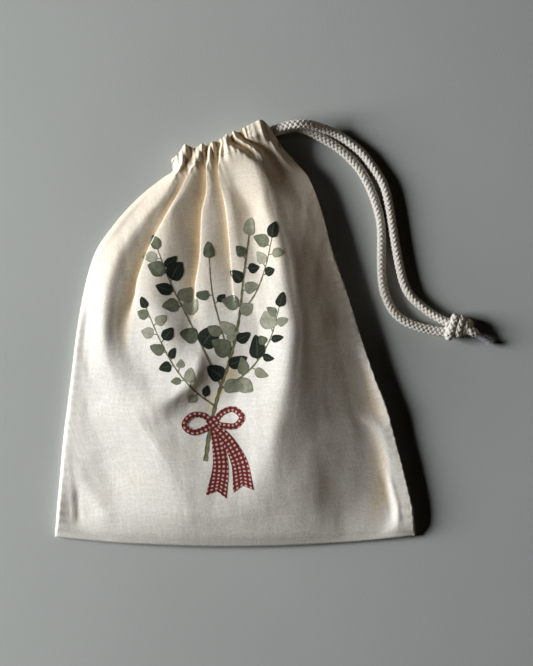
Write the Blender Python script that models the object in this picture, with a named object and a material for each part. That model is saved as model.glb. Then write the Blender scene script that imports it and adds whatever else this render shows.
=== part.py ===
"""A drawstring gift pouch: two cotton panels sewn on three sides, a stitched channel round the mouth, and one doubled
braided cord that gathers the mouth and ends in a knot, with a sleeve on the tip that shows.

Frame: metres, +Z up. The pouch lies on its back on the plane z = 0 with its mouth towards +Y. The origin is the middle
of the pouch's footprint. The mouth is a slanted line, and its own axes are `along` (towards the cord's exit),
`across` (out of the pouch) and up.
"""

import math

import bmesh
import bpy
import numpy as np
from mathutils import Vector

for old in list(bpy.data.objects):
    bpy.data.objects.remove(old)

MM = 0.001
GAP = 0.3 * MM  # kept between pieces that touch

# Cloth
CLOTH = 1.0 * MM  # one panel with its fine wrinkles
SEAM_WIDTH = 8.5 * MM
EDGE_TOP = 3.6 * MM  # the front panel's upper face at the sewn edges

# Drawn mouth
MOUTH_START = Vector((-34.0, 124.0, 0.0)) * MM  # the closed left end, at mid height of the channel band
MOUTH_ANGLE = math.radians(16.5)
MOUTH_LENGTH = 62.0 * MM
BAND = 15.0 * MM  # height of the channel band, measured across the mouth line
CHANNEL_RADIUS = 3.6 * MM
CASING_THICK = 9.0 * MM  # a gathered channel, cloth and cord
BACK_LEVEL = 4.5 * MM  # centre of the cord in the back channel
FRONT_LEVEL = 19.1 * MM  # centre of the cord in the front channel

# Gathers: the draw of the cord closes the gaps between them
GATHER_COUNT = 3
GATHER_WIDTH = 6.2 * MM
EXIT_WIDTH = 7.0 * MM

# Thread
THREAD_RADIUS = 0.35 * MM
STITCH_PITCH = 4.0 * MM
STITCH_COUNT = 12
STITCH_ROW = -BAND / 2 - 3.0 * MM  # across the mouth line
STITCH_LIFT = 0.15 * MM  # how far the thread rises and dips between stitches

# Cord
CORD_RADIUS = 3.0 * MM
TURN_RADIUS = (FRONT_LEVEL - BACK_LEVEL) / 2
TURN_CENTRE = TURN_RADIUS + CASING_THICK / 2  # along the mouth from its closed end
SLACK_TRAVEL = 8.0 * MM  # how far the cord can slip back into its channel
SWING_AT = MOUTH_LENGTH + 3.7 * MM + SLACK_TRAVEL  # the tails' pivot, outside the exit also when the cord is slack
LOOP_END = SWING_AT - CORD_RADIUS - GAP
TAIL_START = SWING_AT + 0.15 * MM

along = Vector((math.cos(MOUTH_ANGLE), math.sin(MOUTH_ANGLE), 0.0))
across = Vector((-math.sin(MOUTH_ANGLE), math.cos(MOUTH_ANGLE), 0.0))
up = Vector((0.0, 0.0, 1.0))

# Sewn outline, from the bottom corners up to the channel band. Millimetres.
LEFT_EDGE = [
    (-125.9, -141.7), (-121.2, -85.0), (-116.0, -42.0), (-110.3, 3.9), (-105.4, 33.0),
    (-96.3, 61.1), (-81.3, 83.6), (-62.5, 103.0), (-34.7, 115.6),
]
RIGHT_EDGE = [
    (125.9, -140.6), (119.2, -99.0), (109.2, -64.0), (96.6, -27.7), (85.9, 3.9),
    (71.1, 50.1), (55.4, 93.3), (42.6, 117.5), (30.9, 134.6),
]
BOTTOM_BOW = 7.3 * MM  # how far the bottom edge bows out between its corners

# Height of the front panel's crown above the floor, at shares of the way from the bottom to the mouth. Millimetres.
CROWN = [(0.0, 3.6), (0.06, 9.0), (0.18, 18.0), (0.38, 26.0), (0.6, 28.0), (0.78, 26.5), (0.9, 23.0), (1.0, 19.8)]
ACROSS_STATIONS = 22
UP_STATIONS = 26

# The two tails of the cord, from the exit to the knot. Millimetres.
UPPER_TAIL = [
    (44.5, 146.3, 17.2), (52.0, 146.2, 13.2), (60.3, 144.2, 7.6), (70.1, 140.4, 3.6), (80.0, 134.1, 3.1),
    (88.8, 126.7, 3.1), (95.7, 117.9, 3.1), (101.6, 109.0, 3.1), (105.0, 101.2, 3.1), (107.5, 90.4, 3.1),
    (109.9, 75.6, 3.1), (112.7, 59.2, 3.1), (115.2, 46.6, 3.1), (118.9, 33.4, 3.1), (124.2, 25.3, 3.1),
    (130.6, 19.6, 3.1), (137.6, 14.4, 3.3), (146.6, 9.3, 4.4),
]
LOWER_TAIL = [
    (44.0, 144.8, 4.2), (52.0, 141.8, 3.3), (61.0, 137.0, 3.1), (70.4, 131.4, 3.1), (79.4, 124.0, 3.1),
    (86.9, 115.6, 3.1), (91.8, 107.6, 3.1), (95.7, 99.2, 3.1), (99.2, 89.4, 3.1), (101.6, 79.6, 3.1),
    (102.4, 68.7, 3.1), (102.3, 54.0, 3.1), (102.6, 40.9, 3.1), (103.9, 31.5, 3.1), (106.4, 24.0, 3.1),
    (110.0, 17.2, 3.1), (114.6, 12.2, 3.1), (120.4, 8.4, 3.1), (128.0, 5.4, 3.1), (136.5, 3.4, 3.2),
    (145.6, 2.0, 3.9),
]
CORD_STEP = 14.0 * MM  # between the points of a cord's solid

KNOT_CENTRE = Vector((155.0, 5.0, 7.0)) * MM
KNOT_SIZE = Vector((17.8, 15.6, 13.4)) * MM
KNOT_TURN = math.radians(-14.0)

# The cord's visible tip leaves the knot as a short stub and ends in a moulded sleeve
TIP_START = Vector((163.9, 2.8, 3.1)) * MM
TIP_HEADING = math.radians(-30.0)
STUB_LENGTH = 3.0 * MM
STUB_RADIUS = 2.8 * MM
SLEEVE_LENGTH = 12.5 * MM
SLEEVE_RADIUS = 2.0 * MM


def material(name, colour, roughness):
    made = bpy.data.materials.get(name)
    if made is None:
        made = bpy.data.materials.new(name)
        made.use_nodes = True
        shader = made.node_tree.nodes["Principled BSDF"]
        shader.inputs["Base Color"].default_value = (*colour, 1.0)
        shader.inputs["Roughness"].default_value = roughness
        shader.inputs["Metallic"].default_value = 0.0
    return made


def cotton():
    return material("cotton", (0.71, 0.64, 0.53), 0.9)


def thread():
    return material("thread", (0.76, 0.70, 0.60), 0.8)


def braid():
    return material("braid", (0.62, 0.57, 0.50), 0.85)


def plastic():
    return material("tip_plastic", (0.19, 0.19, 0.22), 0.45)


def add(name, mesh, finish):
    made = bpy.data.objects.new(name, mesh)
    bpy.context.scene.collection.objects.link(made)
    mesh.materials.append(finish)
    return made


def mesh_from(name, points, faces, smooth=True):
    mesh = bpy.data.meshes.new(name)
    mesh.from_pydata([tuple(p) for p in points], [], faces)
    mesh.validate()
    bm = bmesh.new()
    bm.from_mesh(mesh)
    bmesh.ops.recalc_face_normals(bm, faces=bm.faces)
    bm.to_mesh(mesh)
    bm.free()
    if smooth:
        mesh.shade_smooth()
        mesh.set_sharp_from_angle(angle=math.radians(40))
    return mesh


def curve_through(points, steps_each=12):
    """Close points on a smooth curve (centripetal Catmull-Rom) through the given ones."""
    route = [Vector(p) for p in points]
    ends = [2 * route[0] - route[1], *route, 2 * route[-1] - route[-2]]
    out = []
    for a, b, c, d in zip(ends, ends[1:], ends[2:], ends[3:]):
        ta = 0.0
        tb = ta + max((b - a).length, 1e-9) ** 0.5
        tc = tb + max((c - b).length, 1e-9) ** 0.5
        td = tc + max((d - c).length, 1e-9) ** 0.5
        for k in range(steps_each):
            t = tb + (tc - tb) * k / steps_each
            ab = a.lerp(b, (t - ta) / (tb - ta))
            bc = b.lerp(c, (t - tb) / (tc - tb))
            cd = c.lerp(d, (t - tc) / (td - tc))
            abc = ab.lerp(bc, (t - ta) / (tc - ta))
            bcd = bc.lerp(cd, (t - tb) / (td - tb))
            out.append(abc.lerp(bcd, (t - tb) / (tc - tb)))
    out.append(route[-1])
    return out


def evenly(points, count):
    """count points at equal distances along a chain of points."""
    far = [0.0]
    for a, b in zip(points, points[1:]):
        far.append(far[-1] + (b - a).length)
    wanted = np.linspace(0.0, far[-1], count)
    columns = [np.interp(wanted, far, [p[k] for p in points]) for k in range(3)]
    return [Vector(p) for p in zip(*columns)]


def plan(points):
    """Plan points in millimetres as vectors in metres on the floor."""
    return [Vector((x, y, 0.0)) * MM for x, y in points]


def in_mouth(along_m, across_m, height):
    """A point given in the mouth's own axes."""
    return MOUTH_START + along * along_m + across * across_m + up * height


def crown_height(share):
    places, heights = zip(*CROWN)
    return float(np.interp(share, places, heights)) * MM


def crown_profile(across_share, up_share):
    """0 at the sewn edges and 1 over the middle: a soft dome below, a flat-topped tunnel at the mouth."""
    off_centre = abs(2.0 * across_share - 1.0)
    power = 2.4 + 4.0 * up_share**3
    return (1.0 - off_centre**power) ** 0.62


LEFT = evenly(curve_through(plan(LEFT_EDGE)), UP_STATIONS + 1)
RIGHT = evenly(curve_through(plan(RIGHT_EDGE)), UP_STATIONS + 1)


def plan_point(across_share, up_share):
    """A point of the panel's outline grid on the floor."""
    place = up_share * UP_STATIONS
    row = min(int(place), UP_STATIONS - 1)
    left = LEFT[row].lerp(LEFT[row + 1], place - row)
    right = RIGHT[row].lerp(RIGHT[row + 1], place - row)
    bow = BOTTOM_BOW * (1.0 - up_share) ** 6 * (1.0 - (2.0 * across_share - 1.0) ** 4)
    return left.lerp(right, across_share) - Vector((0.0, bow, 0.0))


def across_shares():
    """Shares across the pouch, closer together at the sewn edges, where the cloth is steep."""
    steps = np.linspace(-1.0, 1.0, ACROSS_STATIONS + 1)
    return [0.5 + 0.5 * math.sin(s * math.pi / 2) * 0.55 + 0.5 * s * 0.45 for s in steps]


def grid_faces(rows, columns):
    return [
        (r * columns + c, r * columns + c + 1, (r + 1) * columns + c + 1, (r + 1) * columns + c)
        for r in range(rows - 1)
        for c in range(columns - 1)
    ]


def front_panel():
    """The upper panel: an open dome of cloth from the sewn edges to the channel band."""
    shares = across_shares()
    points = []
    for row in range(UP_STATIONS + 1):
        t = row / UP_STATIONS
        for s in shares:
            rise = (crown_height(t) - EDGE_TOP) * crown_profile(s, t)
            points.append(plan_point(s, t) + up * (EDGE_TOP + rise))
    made = add("front_panel", bpy.data.meshes.new("front_panel"), cotton())
    made.data.from_pydata([tuple(p) for p in points], [], grid_faces(UP_STATIONS + 1, len(shares)))
    made.data.shade_smooth()
    shell = made.modifiers.new("cloth", "SOLIDIFY")
    shell.thickness = CLOTH
    shell.offset = -1.0
    shell.use_rim = True


def slab(name, outline, low, high, finish):
    """A flat piece: a plan outline between two heights."""
    count = len(outline)
    points = [p + up * low for p in outline] + [p + up * high for p in outline]
    faces = [tuple(range(count)), tuple(range(count, 2 * count))]
    faces += [(k, (k + 1) % count, count + (k + 1) % count, count + k) for k in range(count)]
    return add(name, mesh_from(name, points, faces, smooth=False), finish)


def back_panel():
    """The lower panel lies flat and carries the pouch."""
    bottom = [plan_point(s, 0.0) for s in np.linspace(0.0, 1.0, 13)]
    slab("back_panel", LEFT[::-1][:-1] + bottom + RIGHT[1:], 0.0, CLOTH, cotton())


def strip(name, shares_up, side):
    """A side seam's turned-in allowance between the panels, from one share of the height to another."""
    inset = 1.0 * MM
    edge, other = (LEFT, RIGHT) if side < 0 else (RIGHT, LEFT)
    places = [int(round(t * UP_STATIONS)) for t in np.linspace(*shares_up, 14)]
    outer, inner = [], []
    for k in places:
        inward = (other[k] - edge[k]).normalized()
        outer.append(edge[k] + inward * inset)
        inner.append(edge[k] + inward * (inset + SEAM_WIDTH))
    slab(name, outer + inner[::-1], CLOTH + GAP, CLOTH + GAP + CLOTH, cotton())


def bottom_allowance():
    """The bottom seam's turned-in allowance, between the side ones."""
    inset = Vector((0.0, 1.0 * MM, 0.0))
    width = Vector((0.0, SEAM_WIDTH, 0.0))
    shares = np.linspace(0.012, 0.988, 13)
    outer = [plan_point(s, 0.0) + inset for s in shares]
    inner = [p + width for p in outer]
    slab("seam_allowance_bottom", outer + inner[::-1], CLOTH + GAP, CLOTH + GAP + CLOTH, cotton())


def ring_profile(sides=14):
    """The outside of a gathered channel in its own plane: (across, up) from the cord's centre."""
    out = []
    for k in range(sides):
        turn = 2 * math.pi * k / sides
        c, s = math.cos(turn), math.sin(turn)
        wide = math.copysign(abs(c) ** 0.6, c) * BAND / 2
        high = math.copysign(abs(s) ** 0.75, s) * CASING_THICK / 2
        out.append((wide, high, c * CHANNEL_RADIUS, s * CHANNEL_RADIUS))
    return out


def casing(name, frames):
    """A gathered stretch of the channel, swept along frames of (centre, upward) with an open bore for the cord."""
    profile = ring_profile()
    sides = len(profile)
    points, faces = [], []
    for centre, upward in frames:
        points += [centre + across * w + upward * h for w, h, _, _ in profile]
        points += [centre + across * w + upward * h for _, _, w, h in profile]
    for row in range(len(frames) - 1):
        a, b = row * 2 * sides, (row + 1) * 2 * sides
        for k in range(sides):
            n = (k + 1) % sides
            faces.append((a + k, a + n, b + n, b + k))
            faces.append((a + sides + k, b + sides + k, b + sides + n, a + sides + n))
    last = (len(frames) - 1) * 2 * sides
    for k in range(sides):
        n = (k + 1) % sides
        faces.append((k, sides + k, sides + n, n))
        faces.append((last + k, last + n, last + sides + n, last + sides + k))
    return add(name, mesh_from(name, points, faces), cotton())


def straight_casing(name, start, end, level):
    return casing(name, [(in_mouth(s, 0.0, level), up) for s in (start, end)])


def turned_casing():
    """The channel round the closed end of the mouth, over the cord's turn."""
    middle = in_mouth(TURN_CENTRE, 0.0, (BACK_LEVEL + FRONT_LEVEL) / 2)
    frames = []
    for k in range(13):
        turn = math.pi / 2 + math.pi * k / 12
        out = along * math.cos(turn) + up * math.sin(turn)
        frames.append((middle + out * TURN_RADIUS, out))
    return casing("casing_closed_end", frames)


def gathers():
    """Ruffles of the channel, evenly apart between the closed end and the exit, front and back."""
    first = TURN_CENTRE
    free = MOUTH_LENGTH - EXIT_WIDTH - first - GATHER_COUNT * GATHER_WIDTH
    space = free / (GATHER_COUNT + 1)
    for k in range(GATHER_COUNT):
        start = first + space + k * (space + GATHER_WIDTH)
        for side, level in (("front", FRONT_LEVEL), ("back", BACK_LEVEL)):
            straight_casing(f"casing_{side}_gather_{k + 1}", start, start + GATHER_WIDTH, level)
    for side, level in (("front", FRONT_LEVEL), ("back", BACK_LEVEL)):
        straight_casing(f"casing_{side}_exit", MOUTH_LENGTH - EXIT_WIDTH, MOUTH_LENGTH, level)


def channel_stitching():
    """The thread that closes the channel band, on the front panel's face and inside the back panel."""
    count = 2 * STITCH_COUNT + 1
    first = (MOUTH_LENGTH - STITCH_PITCH * STITCH_COUNT) / 2 + 1.0 * MM
    for side, level in (("front", 21.2 * MM), ("back", CLOTH + GAP + THREAD_RADIUS + STITCH_LIFT)):
        points = [
            in_mouth(first + k * STITCH_PITCH / 2, STITCH_ROW, level + STITCH_LIFT * (-1) ** k)
            for k in range(count)
        ]
        tube(f"channel_stitching_{side}", points, THREAD_RADIUS, thread(), sides=1)


def exit_bartacks():
    """A close zigzag of thread stops the channel tearing at the exit, one on each panel's band."""
    lift = CASING_THICK / 2 + GAP + THREAD_RADIUS
    for side, level in (("front", FRONT_LEVEL + lift), ("back", BACK_LEVEL + lift)):
        points = [
            in_mouth(MOUTH_LENGTH - 1.6 * MM - k * 0.8 * MM, 2.4 * MM * (-1) ** k, level)
            for k in range(5)
        ]
        tube(f"exit_bartack_{side}", points, THREAD_RADIUS, thread(), sides=1)


def tube(name, points, radius, finish, sides=2):
    curve = bpy.data.curves.new(name, "CURVE")
    curve.dimensions = "3D"
    spline = curve.splines.new("POLY")
    spline.points.add(len(points) - 1)
    for target, p in zip(spline.points, points):
        target.co = (*p, 1.0)
    curve.bevel_depth = radius
    curve.bevel_resolution = sides
    curve.use_fill_caps = True
    curve.materials.append(finish)
    made = bpy.data.objects.new(name, curve)
    bpy.context.scene.collection.objects.link(made)
    return made


def cord_loop():
    """The middle of the cord: in at the exit, along the front channel, round the closed end and back."""
    middle = in_mouth(TURN_CENTRE, 0.0, (BACK_LEVEL + FRONT_LEVEL) / 2)
    turn = [
        middle + (along * math.cos(a) + up * math.sin(a)) * TURN_RADIUS
        for a in np.linspace(math.pi / 2, 3 * math.pi / 2, 9)
    ]
    points = [in_mouth(LOOP_END, 0.0, FRONT_LEVEL), in_mouth(TURN_CENTRE + 24 * MM, 0.0, FRONT_LEVEL)]
    points += turn
    points += [in_mouth(TURN_CENTRE + 24 * MM, 0.0, BACK_LEVEL), in_mouth(LOOP_END, 0.0, BACK_LEVEL)]
    tube("drawstring_in_channel", points, CORD_RADIUS, braid(), sides=3)


def cord_tail(name, level, route):
    """A free end of the cord, from just outside the exit to the knot."""
    start = [in_mouth(TAIL_START + k * 2.5 * MM, 0.0, level) for k in range(2)]
    smooth = curve_through(start + [Vector(p) * MM for p in route])
    length = sum((b - a).length for a, b in zip(smooth, smooth[1:]))
    tube(name, evenly(smooth, int(length / CORD_STEP) + 1), CORD_RADIUS, braid(), sides=3)


def knot():
    """Both tails tied together in one overhand knot."""
    bm = bmesh.new()
    bmesh.ops.create_uvsphere(bm, u_segments=20, v_segments=12, radius=0.5)
    for v in bm.verts:
        ridge = 1.0 + 0.06 * math.cos(3.0 * math.atan2(v.co.z, v.co.y) + 9.0 * v.co.x)
        v.co.y *= ridge
        v.co.x, v.co.y, v.co.z = v.co.x * KNOT_SIZE.x, v.co.y * KNOT_SIZE.y, v.co.z * KNOT_SIZE.z
    mesh = bpy.data.meshes.new("drawstring_knot")
    bm.to_mesh(mesh)
    bm.free()
    mesh.shade_smooth()
    made = add("drawstring_knot", mesh, braid())
    made.location = KNOT_CENTRE
    made.rotation_euler = (0.0, 0.0, KNOT_TURN)


def tip():
    """Past the knot the cord shows a short stub, which ends in a moulded sleeve."""
    ahead = Vector((math.cos(TIP_HEADING), math.sin(TIP_HEADING), 0.0))
    stub_end = TIP_START + ahead * STUB_LENGTH
    tube("cord_tip", [TIP_START, stub_end], STUB_RADIUS, braid(), sides=3)
    sleeve_start = stub_end + ahead * GAP
    sleeve_start.z = SLEEVE_RADIUS + 0.2 * MM
    tube("tip_sleeve", [sleeve_start, sleeve_start + ahead * SLEEVE_LENGTH], SLEEVE_RADIUS, plastic(), sides=4)


back_panel()
front_panel()
strip("seam_allowance_left", (0.08, 0.88), -1)
strip("seam_allowance_right", (0.08, 0.88), 1)
bottom_allowance()
turned_casing()
gathers()
channel_stitching()
exit_bartacks()
cord_loop()
cord_tail("drawstring_tail_upper", FRONT_LEVEL, UPPER_TAIL)
cord_tail("drawstring_tail_lower", BACK_LEVEL, LOWER_TAIL)
knot()
tip()
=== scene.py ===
"""Looks of a flat cotton drawstring gift pouch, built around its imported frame.

Lengths are written in millimetres and scaled by MM; lights and the floor are in metres. The mouth's own axes
are ALONG (towards the cord's exit), ACROSS (out of the pouch) and up, as in the frame. v is the place up a
sheet: 0 at the bottom edge, V_TOP at the top fold, and past it down the hem's inner layer.
"""

import math

import bpy
import numpy as np
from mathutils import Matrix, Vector, noise
from mathutils.bvhtree import BVHTree
from mathutils.interpolate import poly_3d_calc


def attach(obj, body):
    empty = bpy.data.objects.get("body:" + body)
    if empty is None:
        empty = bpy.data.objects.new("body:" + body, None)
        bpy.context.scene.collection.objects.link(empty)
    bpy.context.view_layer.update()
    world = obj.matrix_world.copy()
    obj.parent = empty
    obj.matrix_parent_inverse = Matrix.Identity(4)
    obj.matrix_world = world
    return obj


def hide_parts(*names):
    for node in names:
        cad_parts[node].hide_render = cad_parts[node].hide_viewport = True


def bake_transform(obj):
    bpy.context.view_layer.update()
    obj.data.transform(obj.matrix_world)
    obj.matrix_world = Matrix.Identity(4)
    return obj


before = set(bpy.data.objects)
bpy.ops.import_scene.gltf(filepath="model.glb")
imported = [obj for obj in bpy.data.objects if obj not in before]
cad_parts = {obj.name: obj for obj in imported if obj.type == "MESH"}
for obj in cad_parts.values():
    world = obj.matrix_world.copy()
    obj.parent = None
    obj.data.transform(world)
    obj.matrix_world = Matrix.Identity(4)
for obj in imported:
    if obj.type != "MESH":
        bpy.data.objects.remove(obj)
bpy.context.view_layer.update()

MM = 0.001
rng = np.random.default_rng(7)

# ---------------- camera

CAMERA_AT = (22.0, 1.0, 2200.0)
VIEW_HEIGHT = 466.2  # of the floor that the picture takes in
camera_data = bpy.data.cameras.new("camera")
camera_data.sensor_width = 36.0
camera_data.lens = camera_data.sensor_width * CAMERA_AT[2] / VIEW_HEIGHT
camera = bpy.data.objects.new("camera", camera_data)
camera.location = Vector(CAMERA_AT) * MM
bpy.context.scene.collection.objects.link(camera)
bpy.context.scene.camera = camera
bpy.context.scene.view_settings.view_transform = "Standard"

# ---------------- helpers


def new_piece(name, verts, faces, material):
    """A smooth-shaded mesh; verts in metres."""
    mesh = bpy.data.meshes.new(name)
    mesh.from_pydata([tuple(v) for v in verts], [], [tuple(int(i) for i in f) for f in faces])
    mesh.update()
    mesh.shade_smooth()
    mesh.materials.append(material)
    piece = bpy.data.objects.new(name, mesh)
    bpy.context.scene.collection.objects.link(piece)
    return piece


def store(piece, name, values):
    """Keeps a value or a vector for each vertex, for the materials to read."""
    values = np.asarray(values, np.float32)
    kind, key = ("FLOAT_VECTOR", "vector") if values.ndim > 1 else ("FLOAT", "value")
    piece.data.attributes.new(name, kind, "POINT").data.foreach_set(key, values.ravel())


def units(vectors):
    return vectors / np.linalg.norm(vectors, axis=-1, keepdims=True)


def rise(value, start, over):
    """0 up to start, 1 from start + over on."""
    return np.clip((value - start) / over, 0, 1)


def fall(value, end, over):
    """1 up to end - over, 0 from end on."""
    return np.clip((end - value) / over, 0, 1)


def eased(t):
    return t * t * (3 - 2 * t)


def facing(degrees):
    return math.cos(math.radians(degrees)), math.sin(math.radians(degrees))


def pchip(t, y, q):
    """Monotone cubic through the rows of y at t, read at q: it never overshoots a fold."""
    t, y, q = np.asarray(t, float), np.asarray(y, float), np.asarray(q, float)
    tail = (1,) * (y.ndim - 1)
    h = np.diff(t).reshape(-1, *tail)
    d = np.diff(y, axis=0) / h
    m = np.zeros_like(y)
    w1, w2 = 2 * h[1:] + h[:-1], h[1:] + 2 * h[:-1]
    same = d[:-1] * d[1:] > 0
    safe_a, safe_b = np.where(same, d[:-1], 1.0), np.where(same, d[1:], 1.0)
    m[1:-1] = np.where(same, (w1 + w2) / (w1 / safe_a + w2 / safe_b), 0.0)
    m[0], m[-1] = d[0], d[-1]
    i = np.clip(np.searchsorted(t, q, side="right") - 1, 0, len(t) - 2)
    hi = np.diff(t)[i].reshape(-1, *tail)
    s = (q - t[i]).reshape(-1, *tail) / hi
    s2, s3 = s * s, s * s * s
    return (
        (2 * s3 - 3 * s2 + 1) * y[i] + (s3 - 2 * s2 + s) * hi * m[i]
        + (3 * s2 - 2 * s3) * y[i + 1] + (s3 - s2) * hi * m[i + 1]
    )


def curve_through(points, steps_each=12):
    """Close points on a centripetal Catmull-Rom curve through the given ones."""
    route = [Vector(p) for p in points]
    ends = [2 * route[0] - route[1], *route, 2 * route[-1] - route[-2]]
    out = []
    for a, b, c, d in zip(ends, ends[1:], ends[2:], ends[3:]):
        tb = max((b - a).length, 1e-9) ** 0.5
        tc = tb + max((c - b).length, 1e-9) ** 0.5
        td = tc + max((d - c).length, 1e-9) ** 0.5
        for k in range(steps_each):
            t = tb + (tc - tb) * k / steps_each
            ab, bc, cd = a.lerp(b, t / tb), b.lerp(c, (t - tb) / (tc - tb)), c.lerp(d, (t - tc) / (td - tc))
            abc, bcd = ab.lerp(bc, t / tc), bc.lerp(cd, (t - tb) / (td - tb))
            out.append(abc.lerp(bcd, (t - tb) / (tc - tb)))
    out.append(route[-1])
    return out


def far_along(points):
    """How far along a chain each of its points is."""
    return np.concatenate([[0.0], np.cumsum(np.linalg.norm(np.diff(points, axis=0), axis=1))])


def evenly(points, step):
    """The chain read again at equal distances of about step."""
    p = np.array([tuple(v) for v in points], float)
    far = far_along(p)
    wanted = np.linspace(0.0, far[-1], max(2, int(round(far[-1] / step)) + 1))
    return np.stack([np.interp(wanted, far, p[:, k]) for k in range(3)], axis=1)


def chain_length(points):
    return float(np.linalg.norm(np.diff(np.asarray(points), axis=0), axis=1).sum())


# ---------------- the mouth's axes

MOUTH_START = np.array([-34.0, 124.0, 0.0])
MOUTH_ANGLE = math.radians(16.5)
ALONG = np.array([math.cos(MOUTH_ANGLE), math.sin(MOUTH_ANGLE), 0.0])
ACROSS = np.array([-math.sin(MOUTH_ANGLE), math.cos(MOUTH_ANGLE), 0.0])


def in_mouth(a, b, height):
    return MOUTH_START + ALONG * a + ACROSS * b + np.array([0.0, 0.0, height])


# ---------------- node materials


def rgb(r, g, b):
    return (r, g, b, 1.0)


class Nodes:
    """Short ways to write a node material. A value is a number, a colour or another node's output."""

    def __init__(self, name):
        self.material = bpy.data.materials.new(name)
        self.material.use_nodes = True
        self.tree = self.material.node_tree
        self.tree.nodes.clear()
        self.shader = self.add("ShaderNodeBsdfPrincipled")
        self.add("ShaderNodeOutputMaterial", {"Surface": self.shader.outputs[0]})

    def put(self, socket, value):
        if isinstance(value, bpy.types.NodeSocket):
            self.tree.links.new(value, socket)
        else:
            socket.default_value = value

    def add(self, kind, inputs=None, **settings):
        node = self.tree.nodes.new(kind)
        for key, value in settings.items():
            setattr(node, key, value)
        for socket, value in (inputs or {}).items():
            self.put(node.inputs[socket], value)
        return node

    def math(self, operation, a, b=0.0, clamp=False):
        return self.add("ShaderNodeMath", {0: a, 1: b}, operation=operation, use_clamp=clamp).outputs[0]

    def plus(self, a, b):
        return self.math("ADD", a, b)

    def minus(self, a, b):
        return self.math("SUBTRACT", a, b)

    def times(self, a, b):
        return self.math("MULTIPLY", a, b)

    def stored(self, name, output="Fac"):
        return self.add("ShaderNodeAttribute", attribute_name=name).outputs[output]

    def parts(self, vector):
        return self.add("ShaderNodeSeparateXYZ", {0: vector}).outputs

    def scaled(self, vector, scale, shift=(0.0, 0.0, 0.0)):
        return self.add("ShaderNodeMapping", {"Vector": vector, "Scale": scale, "Location": shift}).outputs[0]

    def noise(self, vector, scale=1.0, detail=2.0, rough=0.5):
        inputs = {"Vector": vector, "Scale": scale, "Detail": detail, "Roughness": rough}
        return self.add("ShaderNodeTexNoise", inputs).outputs["Fac"]

    def ramp(self, value, low, high, to=(0.0, 1.0)):
        inputs = {"Value": value, "From Min": low, "From Max": high, "To Min": to[0], "To Max": to[1]}
        return self.add("ShaderNodeMapRange", inputs).outputs[0]

    def mix(self, share, a, b, mode="MIX"):
        inputs = {"Factor": share, "A": a, "B": b}
        return self.add("ShaderNodeMix", inputs, data_type="RGBA", blend_type=mode).outputs["Result"]

    def tinted(self, colour, *tint):
        return self.mix(1.0, colour, rgb(*tint), "MULTIPLY")

    def bump(self, height, distance, strength, over=None):
        """Height in the surface, distance in millimetres. Over is a coarser bump that this one lies on."""
        inputs = {"Strength": strength, "Distance": distance * MM, "Height": height}
        return self.add("ShaderNodeBump", inputs if over is None else {**inputs, "Normal": over}).outputs[0]

    def surface(self, colour, normal, roughness=0.9, **others):
        """The finished material. Others name the shader's inputs, with _ for each space."""
        for name, value in {"Base_Color": colour, "Normal": normal, "Roughness": roughness, **others}.items():
            self.put(self.shader.inputs[name.replace("_", " ")], value)
        return self.material


YARN_PITCH = 0.55


def weave(n, cloth):
    """The height of a plain weave with uneven yarns, from 0 to 1, and the same without its finest part."""
    turns = 2 * math.pi / (YARN_PITCH * MM)
    u, v, _ = n.parts(cloth)
    fine = n.times(n.math("SINE", n.times(u, turns)), n.math("SINE", n.times(v, turns)))
    warp = n.noise(n.scaled(cloth, (1050, 430, 1)), detail=1.0)
    weft = n.noise(n.scaled(cloth, (400, 1000, 1), (3.1, 7.7, 0)), detail=1.0)
    slub = n.math("POWER", n.noise(n.scaled(cloth, (520, 90, 1), (9.3, 1.7, 0)), detail=0.0), 3.0)
    slub_across = n.math("POWER", n.noise(n.scaled(cloth, (80, 560, 1), (2.9, 5.1, 0)), detail=0.0), 3.0)
    coarse = n.plus(n.times(n.plus(warp, weft), 0.5), n.times(n.plus(slub, slub_across), 0.35))
    return n.plus(coarse, n.times(fine, 0.12)), coarse


def cotton():
    """Natural cotton: tan between its yarns, with a few brown flecks of seed, and a tan painted shade in its
    folds and towards the gathered mouth.
    """
    n = Nodes("cotton_cloth")
    flat = n.stored("flat", "Vector")
    height, coarse = weave(n, flat)
    colour = n.mix(n.ramp(coarse, 0.30, 0.82), rgb(0.655, 0.628, 0.575), rgb(0.85, 0.828, 0.785))
    patches = n.ramp(n.noise(flat, 34.0, 3.0, 0.6), 0.3, 0.72)
    colour = n.mix(patches, colour, n.tinted(colour, 1.04, 1.01, 0.96))
    seeds = n.add("ShaderNodeTexVoronoi", {"Vector": flat, "Scale": 240.0})
    near = n.ramp(seeds.outputs["Distance"], 0.10, 0.05)
    lot = n.add("ShaderNodeSeparateColor", {0: seeds.outputs["Color"]}).outputs[0]
    fleck = n.times(near, n.math("GREATER_THAN", lot, 0.965))
    colour = n.mix(n.times(fleck, 0.75), colour, rgb(0.22, 0.13, 0.06))
    # Painted shade: the stored fold value tints the cloth tan in fold valleys and towards the gathered mouth
    colour = n.mix(n.stored("fold"), colour, n.tinted(colour, 0.93, 0.79, 0.60))
    puckers = n.bump(n.noise(flat, 520.0, 3.0, 0.65), 0.13, 0.6)
    return n.surface(colour, n.bump(height, 0.15, 0.7, puckers), 0.92, Sheen_Weight=0.05, Sheen_Roughness=0.5,
                     Specular_IOR_Level=0.15)


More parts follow.
